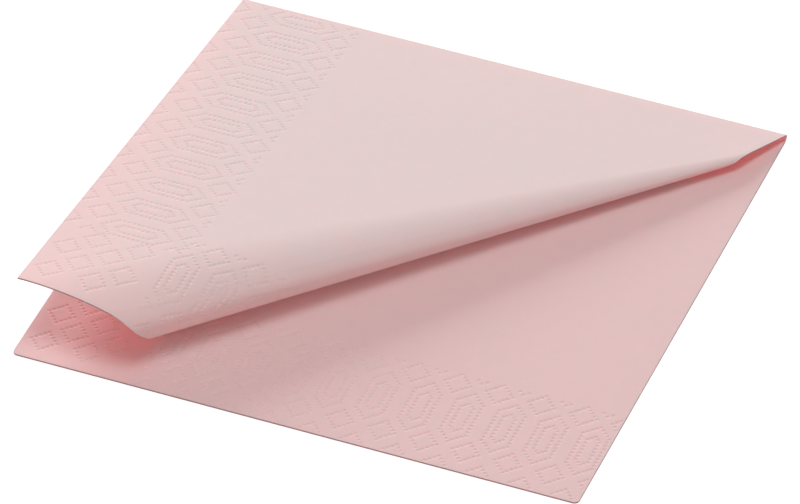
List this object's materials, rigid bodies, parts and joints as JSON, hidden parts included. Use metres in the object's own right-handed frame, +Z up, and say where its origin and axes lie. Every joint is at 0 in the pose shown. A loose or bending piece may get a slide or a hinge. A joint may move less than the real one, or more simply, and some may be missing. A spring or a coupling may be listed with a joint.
{
  "type": "folded paper napkin",
  "caption": "Square tissue napkin folded in quarters, its upper leaf raised and one corner rolled under.",
  "frame": {"origin": "on the surface it lies on, under the centre of the folded square", "axes": "+X along the open front edge, +Y towards the closed fold at the back, +Z up"},
  "size_m": [0.165, 0.165, 0.0237],
  "materials": {
    "tissue": "matte"
  },
  "bodies": {
    "root": {"folded_napkin": "tissue"}
  },
  "joints": []
}
